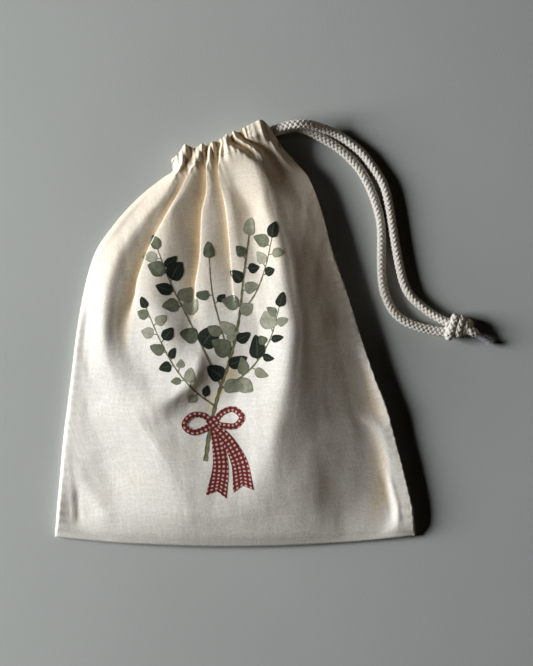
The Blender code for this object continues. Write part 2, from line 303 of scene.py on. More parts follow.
def yarn(name, light, deep):
    """Spun yarn: fine fibres along each strand, read from its own length and round coordinates."""
    n = Nodes(name)
    flat = n.stored("flat", "Vector")
    fibres = n.noise(n.scaled(flat, (1500, 9000, 1)))
    fuzz = n.noise(n.scaled(flat, (260, 700, 1), (4.0, 2.0, 0)), detail=3.0)
    mixed = n.ramp(n.plus(fibres, n.times(fuzz, 0.6)), 0.45, 1.15)
    colour = n.mix(mixed, deep, light)
    # Painted shade: the yarn is darker and browner on each strand's inner side and over the core, where crown
    # is low
    colour = n.mix(n.ramp(n.stored("crown"), 0.0, 0.7), n.tinted(colour, 0.72, 0.66, 0.58), colour)
    return n.surface(colour, n.bump(mixed, 0.12, 0.8), Sheen_Weight=0.3, Specular_IOR_Level=0.15)


def smoky_plastic():
    n = Nodes("smoky_plastic")
    place = n.add("ShaderNodeTexCoord").outputs["Object"]
    streaks = n.ramp(n.noise(n.scaled(place, (500, 900, 900))), 0.3, 0.7)
    colour = n.mix(streaks, rgb(0.19, 0.19, 0.225), rgb(0.34, 0.34, 0.385))
    roughness = n.ramp(streaks, 0.0, 1.0, (0.28, 0.42))
    return n.surface(colour, n.bump(streaks, 0.08, 0.5), roughness, Coat_Weight=0.2)


class Ink(Nodes):
    """Ink on the cloth: it follows the weave, which shows through it on the highest yarns."""

    def __init__(self, name):
        super().__init__(name)
        self.flat = self.stored("flat", "Vector")
        self.height, self.coarse = weave(self, self.flat)
        self.along, self.across, _ = self.parts(self.stored("leaf", "Vector"))

    def washed(self, scale, dark, light):
        return self.mix(self.ramp(self.noise(self.flat, scale, 3.0, 0.6), 0.3, 0.7), dark, light)

    def worn(self, colour, since, share, bare):
        return self.mix(self.times(self.ramp(self.coarse, since, 1.08), share), colour, bare)

    def printed(self, colour, **others):
        return self.surface(colour, self.bump(self.height, 0.12, 0.8), **others)


def leaf_ink():
    """Watercolour-like print: tone sets the leaf, and the midrib and veins are paler."""
    n = Ink("leaf_ink")
    steps = n.add("ShaderNodeValToRGB")
    marks = steps.color_ramp.elements
    marks[0].color, marks[1].color = rgb(0.009, 0.013, 0.010), rgb(0.40, 0.395, 0.31)
    between = {0.42: (0.018, 0.026, 0.019), 0.60: (0.095, 0.110, 0.072), 0.80: (0.215, 0.222, 0.155)}
    for at, green in between.items():
        marks.new(at).color = rgb(*green)
    wash = n.times(n.minus(n.noise(n.flat, 230.0, 3.0, 0.6), 0.5), 0.42)
    n.put(steps.inputs[0], n.math("ADD", n.stored("tone"), wash, clamp=True))
    off_rib = n.math("ABSOLUTE", n.across)
    slanted = n.minus(n.times(n.along, 34.0), n.times(off_rib, 11.0))
    veins = n.times(n.ramp(n.math("SINE", slanted), 0.82, 1.0), 0.45)
    lines = n.math("MAXIMUM", n.ramp(off_rib, 0.10, 0.02), veins)
    colour = n.mix(n.times(lines, 0.28), steps.outputs[0], rgb(0.21, 0.22, 0.14))
    colour = n.mix(n.times(n.ramp(off_rib, 0.78, 1.0), 0.35), colour, rgb(0.03, 0.035, 0.03))
    return n.printed(n.worn(colour, 0.86, 0.35, rgb(0.5, 0.47, 0.38)), Specular_IOR_Level=0.12)


def stem_ink():
    n = Ink("stem_ink")
    colour = n.washed(260.0, rgb(0.085, 0.095, 0.035), rgb(0.25, 0.24, 0.11))
    colour = n.mix(n.ramp(n.across, 0.2, 0.9), colour, rgb(0.05, 0.05, 0.02))
    return n.printed(n.worn(colour, 0.84, 0.4, rgb(0.5, 0.46, 0.36)))


CHECK_PITCH = 3.1


def ribbon_ink():
    """A gingham ribbon: two sets of red bands, darker where they cross. Tone darkens it."""
    n = Ink("ribbon_ink")
    turns = 2 * math.pi / CHECK_PITCH
    wobble = n.times(n.minus(n.noise(n.flat, 320.0), 0.5), 1.1)
    waves = [n.math("SINE", n.plus(n.times(way, turns), wobble)) for way in (n.along, n.across)]
    band_a, band_b = [n.ramp(wave, -0.35, 0.05) for wave in waves]
    red = n.washed(300.0, rgb(0.135, 0.006, 0.009), rgb(0.25, 0.014, 0.017))
    red = n.mix(n.times(n.times(band_a, band_b), 0.7), red, rgb(0.07, 0.005, 0.008))
    colour = n.mix(n.math("MAXIMUM", band_a, band_b), rgb(0.60, 0.45, 0.37), red)
    colour = n.worn(colour, 0.84, 0.3, rgb(0.6, 0.52, 0.42))
    return n.printed(n.mix(n.stored("tone"), colour, n.tinted(colour, 0.5, 0.42, 0.42)))


def floor_paper():
    n = Nodes("floor_paper")
    place = n.add("ShaderNodeTexCoord").outputs["Object"]
    grain = n.noise(place, 900.0, 3.0, 0.6)
    mixed = n.plus(n.times(grain, 0.5), n.times(n.noise(place, 6.0, 3.0), 0.5))
    colour = n.mix(n.ramp(mixed, 0.35, 0.65), rgb(0.452, 0.468, 0.446), rgb(0.492, 0.508, 0.486))
    return n.surface(colour, n.bump(grain, 0.16, 0.5), 0.85, Specular_IOR_Level=0.2)


cotton_cloth = cotton()
thread_yarn = yarn("thread_yarn", rgb(0.78, 0.72, 0.62), rgb(0.52, 0.45, 0.36))
braid_yarn = yarn("braid_yarn", rgb(0.82, 0.785, 0.73), rgb(0.56, 0.515, 0.45))
plastic = smoky_plastic()

# ---------------- cord

CORD_RADIUS = 3.0
PLAIT = 4  # strands that turn each way
PLAIT_PITCH = 13.0  # length of one strand's turn
CORE = 1.9  # radius of the soft core
STRAND_AT, STRAND_WEAVE = 2.22, 0.36  # strands' distance from the middle, and how much they rise and dip
STRAND_WIDE, STRAND_HIGH = 1.28, 0.82  # half a strand's width and height
BRAID_STEP = 0.75


def normals_along(path):
    """Two normals that don't twist, for each point of a path."""
    tangents = units(np.gradient(path, axis=0))
    seed = np.array([0.0, 0.0, 1.0]) if abs(tangents[0][2]) < 0.8 else np.array([1.0, 0.0, 0.0])
    normal = units(seed - tangents[0] * seed.dot(tangents[0]))
    normals = []
    for t in tangents:
        normal = units(normal - t * normal.dot(t))
        normals.append(normal)
    normals = np.array(normals)
    return normals, np.cross(tangents, normals)


def tube_faces(rings, sides, first):
    """The faces of a closed tube whose vertices start at first."""
    faces = []
    for i in range(rings - 1):
        for j in range(sides):
            a, b = first + i * sides + j, first + i * sides + (j + 1) % sides
            faces.append((a, b, b + sides, a + sides))
    faces.append(tuple(first + j for j in reversed(range(sides))))
    faces.append(tuple(first + (rings - 1) * sides + j for j in range(sides)))
    return faces


def rings(centres, out_n, side_n, wide, high, sides):
    """The vertices of a tube along a chain: its section is wide to the side and high outwards."""
    a = np.arange(sides)[:, None] * 2 * math.pi / sides
    to_side = (side_n * wide[:, None])[:, None] * np.cos(a)
    outwards = (out_n * high[:, None])[:, None] * np.sin(a)
    return (centres[:, None] + to_side + outwards).reshape(-1, 3)


def braid(name, route, radius=CORD_RADIUS, taper=((0.0, 1.0), (1.0, 1.0)), turn=0.0):
    """A round braid of eight strands over a soft core, along a route in millimetres. Taper gives places from
    0 to 1 and the thickness at each; turn is the strands' start, in radians."""
    path = evenly(route, BRAID_STEP)
    first_n, second_n = normals_along(path)
    s = np.linspace(0.0, chain_length(path), len(path))
    scale = radius / CORD_RADIUS
    size = scale * np.interp(s / s[-1], *taper)
    verts, faces, flat, crown = [], [], [], []

    def add(centres, wide, high, out_n, side_n, sides, label):
        faces.extend(tube_faces(len(centres), sides, len(verts)))
        verts.extend(rings(centres, out_n, side_n, wide, high, sides))
        for place, half in zip(s, wide):
            for a in np.arange(sides) * 2 * math.pi / sides:
                flat.append((place * MM, a * half * MM, label * 0.37))
                # crown: 1 on a strand's outer side, 0 on its inner side, for the yarn's painted shade
                crown.append(0.5 + 0.5 * math.sin(a))

    add(path, CORE * size, CORE * size, first_n, second_n, 8, 9.0)
    # The core lies between the strands and gets the full painted shade
    crown[:] = [0.0] * len(crown)
    for way in (1.0, -1.0):
        for k in range(PLAIT):
            theta = way * 2 * math.pi * s / PLAIT_PITCH / scale + k * 2 * math.pi / PLAIT + turn
            reach = (STRAND_AT + way * STRAND_WEAVE * np.cos(PLAIT * (theta - turn))) * size
            out_n = first_n * np.cos(theta)[:, None] + second_n * np.sin(theta)[:, None]
            centres = path + out_n * reach[:, None]
            side_n = units(np.cross(units(np.gradient(centres, axis=0)), out_n))
            add(centres, STRAND_WIDE * size, STRAND_HIGH * size, out_n, side_n, 7, k + 4.0 * (way > 0))
    piece = new_piece(name, np.array(verts) * MM, faces, braid_yarn)
    store(piece, "flat", flat)
    store(piece, "crown", crown)
    return piece, path


UPPER_TAIL = [
    (27.5, 142.4, 11.4), (33.0, 144.2, 13.4), (38.8, 145.6, 14.6), (44.5, 146.3, 14.8), (52.0, 146.2, 12.6),
    (60.3, 144.2, 7.8), (70.1, 140.4, 3.7), (80.0, 134.1, 3.1), (88.8, 126.7, 3.1), (95.7, 117.9, 3.1),
    (101.6, 109.0, 3.1), (105.0, 101.2, 3.1), (107.5, 90.4, 3.1), (109.9, 75.6, 3.1), (112.7, 59.2, 3.1),
    (115.2, 46.6, 3.1), (118.9, 33.4, 3.1), (124.2, 25.3, 3.1), (130.6, 19.6, 3.1), (137.6, 14.4, 3.4),
    (146.6, 9.3, 4.6), (152.5, 7.0, 5.4),
]
LOWER_TAIL = [
    (27.0, 141.4, 4.8), (33.0, 142.9, 4.6), (38.5, 144.2, 4.4), (44.0, 144.4, 4.2), (52.0, 141.8, 3.4),
    (61.0, 137.0, 3.1), (70.4, 131.4, 3.1), (79.4, 124.0, 3.1), (86.9, 115.6, 3.1), (91.8, 107.6, 3.1),
    (95.7, 99.2, 3.1), (99.2, 89.4, 3.1), (101.6, 79.6, 3.1), (102.4, 68.7, 3.1), (102.3, 54.0, 3.1),
    (102.6, 40.9, 3.1), (103.9, 31.5, 3.1), (106.4, 24.0, 3.1), (110.0, 17.2, 3.1), (114.6, 12.2, 3.1),
    (120.4, 8.4, 3.1), (128.0, 5.4, 3.1), (136.5, 3.4, 3.2), (145.6, 2.0, 3.9), (151.5, 2.6, 5.0),
]

upper_tail, upper_path = braid("cord_tail_upper", curve_through(UPPER_TAIL))
lower_tail, lower_path = braid("cord_tail_lower", curve_through(LOWER_TAIL), turn=0.6)


def wrap_of_cord(centre, heading, reach, high, lean):
    """A turn of the cord round the knot: over its top from end to end of heading, and back under it. Reach is
    half its length, high its top, and lean how far its ends lie apart sideways."""
    heading = units(np.array([heading[0], heading[1], 0.0]))
    sideways = np.array([-heading[1], heading[0], 0.0])
    low, steps = 2.9, 26
    points = []
    for k in range(steps + 1):
        a = (-0.12 + 2.24 * k / steps) * math.pi
        up = np.array([0, 0, 1]) * (high - low) / 2 * math.sin(a)
        middle = np.array([*centre, (low + high) / 2])
        points.append(middle + heading * reach * math.cos(a) + up + sideways * lean * (k / steps - 0.5))
    return curve_through(points, 4)


THROUGH_KNOT = [(147.6, 6.6, 5.6), (153, 5.4, 6), (158.6, 4.6, 5.8), (164, 3.2, 5.2)]
knot_parts = [
    braid("knot_a", wrap_of_cord((152.2, 4.9), (6.9, 14.7), 7.0, 8.2, -3.0), 3.0)[0],
    braid("knot_b", wrap_of_cord((157.0, 5.2), (5.2, 13.5), 5.6, 8.0, -2.0), 2.9, turn=0.9)[0],
    braid("knot_c", wrap_of_cord((161.2, 5.0), (6.5, 9.2), 3.6, 7.0, -1.4), 2.8, turn=0.3)[0],
    braid("knot_d", curve_through(THROUGH_KNOT), 3.5)[0],
]
bpy.ops.object.select_all(action="DESELECT")
for part in knot_parts:
    part.select_set(True)
bpy.context.view_layer.objects.active = knot_parts[0]
bpy.ops.object.join()
knot = knot_parts[0]
knot.name = knot.data.name = "cord_knot"

STUB = [(161.0, 4.2, 5.6), (164.4, 2.8, 5.9), (167.6, 1.0, 5.2), (170.4, -0.5, 4.4)]
stub, _ = braid("cord_stub", curve_through(STUB), 3.2, taper=((0.0, 0.45, 0.72, 1.0), (1.0, 1.05, 0.85, 0.5)))

SLEEVE_START, SLEEVE_END = np.array([167.4, 0.9, 5.0]), np.array([178.9, -5.9, 3.2])
# How far along the sleeve, and its radius there: out along its outside and back into its open end
SLEEVE_OUTLINE = [(0.0, 1.9), (0.2, 2.1), (0.6, 2.16), (2.0, 2.0), (4.5, 1.86), (7.5, 1.9), (10.2, 2.02),
                  (11.8, 2.2), (12.7, 2.34), (13.0, 2.3), (12.95, 1.9), (12.3, 1.45), (9.0, 1.35)]


def sleeve():
    """A shrunk plastic tube with a flared, slightly ragged end."""
    line = units(SLEEVE_END - SLEEVE_START)
    side = units(np.cross(line, [0, 0, 1]))
    top = np.cross(side, line)
    verts, sides = [], 28
    for far, wide in SLEEVE_OUTLINE:
        for j in range(sides):
            a = 2 * math.pi * j / sides
            ripple = 1.0 + 0.035 * math.sin(3 * a + far * 0.9) + 0.02 * math.sin(7 * a - far * 1.7)
            out = (side * math.cos(a) + top * math.sin(a) * 0.94) * wide * 1.12 * ripple
            verts.append(SLEEVE_START + line * far + out)
    piece = new_piece("cord_sleeve", np.array(verts) * MM, tube_faces(len(SLEEVE_OUTLINE), sides, 0), plastic)
    modifier = piece.modifiers.new("smooth", "SUBSURF")
    modifier.levels = modifier.render_levels = 1
    return piece


tip_sleeve = sleeve()
for piece, node in ((upper_tail, "drawstring_tail_upper"), (lower_tail, "drawstring_tail_lower"),
                    (knot, "drawstring_knot"), (stub, "cord_tip"), (tip_sleeve, "tip_sleeve")):
    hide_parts(node)
for piece in (knot, stub, tip_sleeve):
    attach(piece, "tails")
for tail in (upper_tail, lower_tail):
    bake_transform(tail)

# The cord inside the channel, round the closed end of the mouth, where the gathers squeeze it. Its ends are as
# thick as the tails, which they run on into.
CHANNEL_RADIUS = 2.6
FRONT_CORD, BACK_CORD = 10.9, 3.95  # height of its middle
TURN_AT, TURN_TOP = 12.0, 12.2  # where along the mouth it turns, and the turn's greatest height
channel_route = [in_mouth(64.0, 0.2, 11.35), in_mouth(60.5, 0.1, 11.1), in_mouth(56, 0, FRONT_CORD),
                 in_mouth(44, 0, FRONT_CORD), in_mouth(32, 0, 11.2), in_mouth(22, 0, TURN_TOP)]
turn_radius = (TURN_TOP - BACK_CORD) / 2
for k in range(7):
    a = math.pi / 2 + math.pi * k / 6
    channel_route.append(in_mouth(TURN_AT + turn_radius * math.cos(a), 0,
                                  (TURN_TOP + BACK_CORD) / 2 + turn_radius * math.sin(a)))
channel_route += [in_mouth(26, 0, BACK_CORD), in_mouth(44, 0, BACK_CORD), in_mouth(56, -0.3, 4.4),
                  in_mouth(63.3, -0.6, 4.8)]
channel_cord, _ = braid("cord_in_channel", curve_through(channel_route), CHANNEL_RADIUS,
                        taper=((0.0, 0.05, 0.95, 1.0), (1.15, 1.0, 1.0, 1.15)))
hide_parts("drawstring_in_channel")
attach(channel_cord, "drawstring")

# ---------------- front sheet

# The front's lie, in rows from the bottom edge to the mouth. Each row has its place up the sheet, its plan y at
# the left and at the right edge, and then plan x and height for 25 lines of the cloth: seam edge, seam roll,
# then the folds from left to right, then the wall down to the right edge. Where x goes back a little, a fold's
# crest hangs over its valley.
FOLD_ROWS = [
    (0, -141.7, -140.6, "-126.1/2.0 -124/2.1 -90/2.4 -73/2.6 -37.5/2.8 -32.5/2.8 -28.5/2.8 -24.5/2.8 "
     "-19.5/2.8 -14.5/2.8 -9.5/2.8 -4.5/2.8 0.5/2.8 5.5/2.8 10.5/2.8 15.5/2.8 22.5/2.8 32.5/2.8 43.5/2.7 "
     "55.5/2.6 66.5/2.5 78.5/2.5 92.5/2.6 114.2/3.0 126/2.6"),
    (9, -133.6, -132.6, "-125.3/3.6 -123.2/5.4 -110/4.6 -88/6.6 -37/9.8 -32/9.8 -28/9.8 -24/9.7 -19/9.7 "
     "-14/9.7 -9/9.7 -4/9.7 1/9.7 6/9.7 11/9.7 16/9.7 24/9.6 33/9.3 44/8.8 56/7.8 67/6.6 81/5 103/4.1 114/6 "
     "125.2/6"),
    (25, -122, -122, "-124.4/4.2 -122/6.4 -111/5.6 -90/8.8 -38/16.4 -33/16.6 -29/16.5 -25/16.3 -20/16.1 "
     "-15/16 -10/15.9 -5/15.8 0/15.7 5/15.6 10/15.5 16/15.4 24/15 33/14.3 44/13.1 56/11.2 67/8.8 81/6 105/4 "
     "115/6.6 124/7"),
    (47, -100, -100, "-122.4/4.4 -120/6.6 -108/6.8 -86/9.6 -46/17 -40/17.4 -35/17.4 -30/17.3 -24/17.1 "
     "-18/16.9 -12/16.8 -6/16.8 -1/17 4/17.4 9/18.2 16/19.4 25/20 34/19.2 44/17.7 56/15.1 67/12.2 79/9 "
     "101.5/4.8 110.5/7.1 118.9/7.8"),
    (79, -68, -68, "-119.4/4.6 -117/6.4 -108/7.2 -98/7.8 -66/15 -61/16.4 -57/17 -53/17.1 -48/17 -40/16.5 "
     "-32/16.2 -22/15.8 -10/15.4 0/15.8 9/17.6 19/20.6 28/22.8 37.5/21.2 48.5/18.6 59.5/15.7 70/12.8 81/9.6 "
     "95/6.3 104/8 110.5/8.2"),
    (95, -52, -52, "-117.3/5 -114.8/6.4 -109.5/6.8 -103/7.2 -76/14.2 -69/15.8 -62/17 -57/17.8 -50/18 "
     "-44/17.5 -38/16.6 -30/15.2 -15/13.2 -4/14 7/17 18/20.6 32/24.2 41.5/22.6 50/20.2 60/17 68/14.1 "
     "76/11.2 84/8.4 96.5/5.8 106/8.8"),
    (117, -30, -30, "-114.5/5.6 -112/6.6 -108/6.9 -103/7.4 -84/12.4 -77/13.2 -70/13.4 -62/13.5 -42/17 "
     "-33/19 -28/19.7 -22/18.2 -10/15.6 2/15.2 12/17 22/20 35.5/24.8 43.5/23.2 52/20.3 60.5/17.2 67/14.8 "
     "73/12.6 80/10 91.5/7.2 97.5/8.8"),
    (150, 3, 3, "-110.4/5.6 -108/6.6 -105/6.8 -101/8.6 -91/13.2 -84/11.8 -77/10.6 -70/12 -46/17.4 -31/15.2 "
     "-25/14.8 -17/15.2 -4/15.6 5/15.9 15/16.2 23/19.2 38.5/25.4 45.5/23.9 53/21.2 61/18.2 65/16.6 69/15 "
     "73/13.4 82/10.4 86.3/9.2"),
    (177, 30, 30, "-105.6/5 -103.2/6.8 -101/8.2 -97.5/10.2 -88.5/14.2 -80/12.6 -69/9.8 -69.2/11.8 -56/15.2 "
     "-27.6/11.2 -27.8/13.4 -18/14.6 -1/13.6 -1.2/15 7/15.6 19/18.4 34.5/24 41/22.7 48/20.2 55.5/17.4 "
     "58.7/16.1 62/14.7 65.5/13.3 73.6/10.4 77.8/9.2"),
    (203, 56, 56, "-98.2/4.4 -95.8/6.6 -93.6/8 -90.6/9.4 -80/13.2 -71/11.6 -61.6/9.8 -61.8/12.2 -48/15 "
     "-24.2/9.8 -24.4/12.4 -18.5/13 -3.2/11.2 -3.4/13.8 2/14.6 13/14 31/22 37.5/20.6 45/17.8 52.2/15 "
     "54/14.3 56/13.6 58/12.9 65/10.8 68.6/9.8"),
    (229, 80, 89, "-82/4.8 -79.5/6.4 -77.5/7.2 -74/7.8 -62.5/11.2 -57/10.6 -48.6/9 -48.8/11.8 -45/12.9 "
     "-23/8.2 -23.2/11.6 -19/12.4 -6/10.6 -6.2/13.8 -2/14.8 9.5/13.4 22.3/19 27.5/18.2 35.5/15.8 44.5/13.2 "
     "47.7/12.3 50.7/11.5 53/10.9 56.5/10 59.5/9.2"),
    (248, 98, 110, "-64.8/4.6 -62.5/6.4 -60.8/7.4 -58.4/8.4 -47/12.2 -43.5/12 -37.9/10.6 -38.1/12.8 "
     "-34.5/13.2 -19.5/9.6 -19.7/12.8 -17/13.2 -9.7/11.6 -9.9/14.4 -6.5/14.6 0/14.4 17.5/19.6 22/19 27/16.8 "
     "34/12.8 37/11.6 40.4/10.7 43/10.2 47.5/9.4 51/8.8"),
    (259, 109, 121, "-51/5.4 -49/7 -47.8/8.2 -46.3/9.4 -41.5/12.4 -39.5/12.2 -32.3/11.4 -32.5/13.8 -29/14 "
     "-19.8/11.8 -20/14.8 -17.6/15 -11.6/13 -11.8/15.8 -8.5/16.2 -3/16.8 13.5/21.2 18/20.2 22/17.4 27/12 "
     "30/11.9 32/12.1 34.5/12 38.5/10.2 41.5/8.4"),
    (269, 115.2, 134.2, "-43/8 -42/10 -40.8/12 -39.2/13.8 -37.5/16 -36/14.6 -33.5/14.2 -27.5/17 -25.5/16.6 "
     "-20.5/14.6 -18/17.4 -16/17 -11.8/15 -10.2/18.4 -8/18.6 -5/20.4 3/21.6 8.5/16.4 12.5/19.4 17.5/12 "
     "19.2/12.8 21/13.8 25/15.2 28/12.6 30/9.6"),
    (277, 122.3, 142.2, "-43.6/9 -42.4/11 -40/13.4 -38.5/14.6 -35.5/17.5 -33/16 -29.5/15 -24/18 -22.5/17.4 "
     "-19.5/15.3 -16.8/18.4 -15/17.8 -11/15.6 -8.9/19 -7.5/18.4 -6.8/18.8 -5.5/20 -1/14.9 2.5/19.4 6/14.9 "
     "7.4/16.6 8.8/19 17.8/20.6 22.4/18 26/14.6"),
]
# The scalloped top fold: plan x, plan y and height of the same 25 lines
TOP_FOLD = (
    "-43.7,119.8,9 -42.6,122.3,11 -40.4,125.2,13.6 -38.6,126.8,14.4 -34.6,132.2,17 -31.8,131.2,15 "
    "-28.2,129.6,14.2 -22.4,132.7,18 -20.8,131.6,16.6 -18.8,130.9,15 -16.6,133,18 -14.4,134.1,17.4 "
    "-12,134,15.2 -10,136.1,18.6 -8.6,136.4,17.6 -7.4,137.6,18 -5.6,139.4,19 -3.2,137.3,13.6 -1.0,141.5,18 "
    "2.6,140.6,13.6 3.9,142.2,17 8.4,144.8,18 17.9,149.1,19 21.4,147.2,17 25.0,143.4,14"
)
LINES = 25
PER_GAP = 8  # columns of the grid between two lines
V_TOP = 285.5
V_HEM = 306  # the hem's inner edge
V = np.concatenate([np.linspace(0, 259, 186), np.linspace(259, V_HEM, 46)[1:]])
CLOTH = 0.45  # thickness
BOTTOM_BOW, BOTTOM_HALF = 7.3, 126.0  # how far the bottom edge bows out, and half its length
HEM_INSIDE = 7.9  # height of the hem's inner layer over the back channel
HEM_TURN, HEM_BEHIND, HEM_UNDER = 4.5, 1.2, 1.3  # how far its turn, middle and end lie under the outer layer


def net():
    """(place up the sheet, 25 points) for each row, from the bottom edge over the top fold to the hem's end."""
    rows = []
    for place, left_y, right_y, text in FOLD_ROWS:
        xz = np.array([[float(v) for v in pair.split("/")] for pair in text.split()])
        share = (xz[:, 0] - xz[0, 0]) / (xz[-1, 0] - xz[0, 0])
        y = left_y + (right_y - left_y) * share
        if place < 20:
            y = y - BOTTOM_BOW * (1.0 - place / 60.0) * (1.0 - (xz[:, 0] / BOTTOM_HALF) ** 2)
        rows.append((place, np.stack([xz[:, 0], y, xz[:, 1]], axis=1)))
    top = np.array([[float(v) for v in triple.split(",")] for triple in TOP_FOLD.split()])
    stitch, crown = rows[-2][1], rows[-1][1]
    under, inner, last = top.copy(), crown.copy(), stitch.copy()
    under[:, :2] -= ACROSS[:2] * 0.5
    under[:, 2] = np.maximum(top[:, 2] - HEM_TURN, HEM_INSIDE + 0.8)
    inner[:, :2] -= ACROSS[:2] * 0.8
    inner[:, 2] = np.minimum(HEM_INSIDE, crown[:, 2] - HEM_BEHIND)
    last[:, 2] = stitch[:, 2] - HEM_UNDER
    return rows + [(V_TOP, top), (290, under), (297, inner), (V_HEM, last)]


def field(x, y, wave_x, wave_y, seed):
    """Smooth noise with its own wavelengths in each direction, about -1 to 1."""
    flat_x, flat_y = (x / wave_x).ravel(), (y / wave_y).ravel()
    out = np.array([noise.noise(Vector((a, b, seed))) for a, b in zip(flat_x, flat_y)])
    return out.reshape(x.shape)


def crease(x, y, points, height, wide_left, wide_right, fade=14.0):
    """A soft ridge (or a groove, for a negative height) along a chain of plan points, its two sides of own
    widths. Left and right are as one walks along the chain, and it fades out over its ends."""
    p = np.array([tuple(v)[:2] for v in curve_through([(a, b, 0.0) for a, b in points], 6)])
    best, signed, place = np.full(x.shape, 1e9), np.zeros(x.shape), np.zeros(x.shape)
    far = 0.0
    for a, b in zip(p, p[1:]):
        d = b - a
        length = math.hypot(*d)
        t = np.clip(((x - a[0]) * d[0] + (y - a[1]) * d[1]) / length**2, 0, 1)
        gap = np.hypot(x - a[0] - t * d[0], y - a[1] - t * d[1])
        near = gap < best
        side = np.where(d[0] * (y - a[1]) - d[1] * (x - a[0]) > 0, 1.0, -1.0)
        best = np.where(near, gap, best)
        signed = np.where(near, side, signed)
        place = np.where(near, far + t * length, place)
        far += length
    wide = np.where(signed > 0, wide_left, wide_right)
    return height * np.exp(-((best / wide) ** 2)) * eased(np.clip(np.minimum(place, far - place) / fade, 0, 1))


def hollow(x, y, at, size, depth, turn):
    c, s = facing(turn)
    dx, dy = x - at[0], y - at[1]
    a, b = (dx * c + dy * s) / size[0], (-dx * s + dy * c) / size[1]
    return -depth * np.exp(-(a * a + b * b))


# Plan points, height, and width to the left and to the right of each
CREASES = [
    ([(-26, -8), (-23.2, -22), (-28.9, -33), (-42, -43.5), (-56, -51)], 0.8, 3.4, 6.0),
    ([(-118, -80), (-114.6, -104), (-112.6, -124), (-112, -138)], 0.5, 1.4, 1.8),
    ([(-110.6, -100), (-110.0, -118), (-109.6, -138)], -0.7, 1.8, 2.0),
    ([(-109, -86), (-103.8, -104.7), (-93.6, -120), (-83, -137)], 0.7, 3.4, 5.0),
    ([(-96, -78), (-88, -100), (-78, -124)], -0.8, 7.0, 6.0),
    ([(106, -92), (110.5, -109.8), (113.4, -121), (114.6, -141)], 0.9, 1.8, 2.4),
    ([(101.5, -92), (106, -108), (109, -122), (110, -140)], -0.4, 3.0, 2.0),
    ([(31, -134), (33, -148)], 0.3, 3.0, 3.0),
    ([(-112, -14), (-104, -30), (-98, -52)], 0.4, 3.0, 4.0),
]
# Plan place, size, depth and turn in degrees of each
HOLLOWS = [
    ((-54, -64), (12, 9), 1.2, 20), ((-37, -50), (10, 7), 1.0, 20), ((-26, -40), (8, 8), 0.8, 0),
    ((-19.5, -30), (6, 9), 0.6, 0), ((-32, 0), (7, 6), 0.6, 0), ((67.4, -104.7), (8, 16), 0.5, 8),
]
FRILL_PITCH = 3.9  # of the short ruffles that the gathers throw into the cloth below them
PUCKER_PITCH = 6.3  # along the side seams


def front_surface():
    columns = np.arange(LINES, dtype=float)
    wanted = np.linspace(0, LINES - 1, (LINES - 1) * PER_GAP + 1)
    rows = net()
    grid = pchip([place for place, _ in rows], np.stack([points for _, points in rows]), V)  # rows, lines, xyz
    grid = pchip(columns, grid.transpose(1, 0, 2), wanted).transpose(1, 0, 2)
    x, y, z = grid[..., 0].copy(), grid[..., 1].copy(), grid[..., 2].copy()
    v = V[:, None] * np.ones((1, grid.shape[1]))
    from_edge = np.minimum(x - x[:, :1], x[:, -1:] - x)
    inside = rise(from_edge, 1.5, 9.0) * rise(v, 3, 14.0)
    upper, body = rise(v, 120, 130.0), fall(v, 262, 30.0)
    # Cloth that isn't quite even: long waves, then ever shorter ones
    z += inside * body * (0.7 * field(x, y, 34, 52, 1.3) + (0.12 + 0.30 * upper) * field(x, y, 9.5, 38, 4.1))
    z += inside * body * (0.04 + 0.08 * upper) * field(x, y, 4.6, 19, 8.7)
    z += inside * 0.03 * field(x, y, 3.4, 4.4, 2.2)
    z += inside * (1 - upper) * 0.12 * field(x, y, 12, 9, 6.6)
    mouth = (x - MOUTH_START[0]) * ALONG[0] + (y - MOUTH_START[1]) * ALONG[1]
    below = -((x - MOUTH_START[0]) * ACROSS[0] + (y - MOUTH_START[1]) * ACROSS[1])
    frill = np.exp(-np.clip(below - 4, 0, None) / 6.0) * (v < V_TOP + 6) * rise(from_edge, 0, 3.0)
    wobble = 1.6 * field(mouth, below, 9, 22, 11.0)
    z += frill * 0.6 * np.sin(2 * math.pi * (mouth / FRILL_PITCH) + wobble * 2.2)
    for points, height, left, right in CREASES:
        z += inside * crease(x, y, points, height, left, right)
    for at, size, depth, turn in HOLLOWS:
        z += inside * hollow(x, y, at, size, depth, turn)
    rim = np.exp(-from_edge / 4.0) * rise(from_edge, 0, 1.2) * fall(v, 250, 40)
    z += rim * (0.45 * np.sin(2 * math.pi * y / PUCKER_PITCH + 3 * field(x, y, 30, 17, 3.3))
                + 0.35 * field(x, y, 6, 5, 5.9))
    return np.stack([x, y, np.maximum(z, 1.3)], axis=-1)


def arc_flat(grid):
    """The cloth's own coordinates: distance along each row and column, as if it lay flat. In metres."""
    along_u = np.zeros(grid.shape[:2])
    along_u[:, 1:] = np.cumsum(np.linalg.norm(np.diff(grid, axis=1), axis=2), axis=1)
    along_u -= along_u[:, grid.shape[1] // 2][:, None]
    along_v = np.zeros(grid.shape[:2])
    along_v[1:] = np.cumsum(np.linalg.norm(np.diff(grid, axis=0), axis=2), axis=0)
    return np.stack([along_u, along_v, np.zeros_like(along_u)], axis=-1) * MM


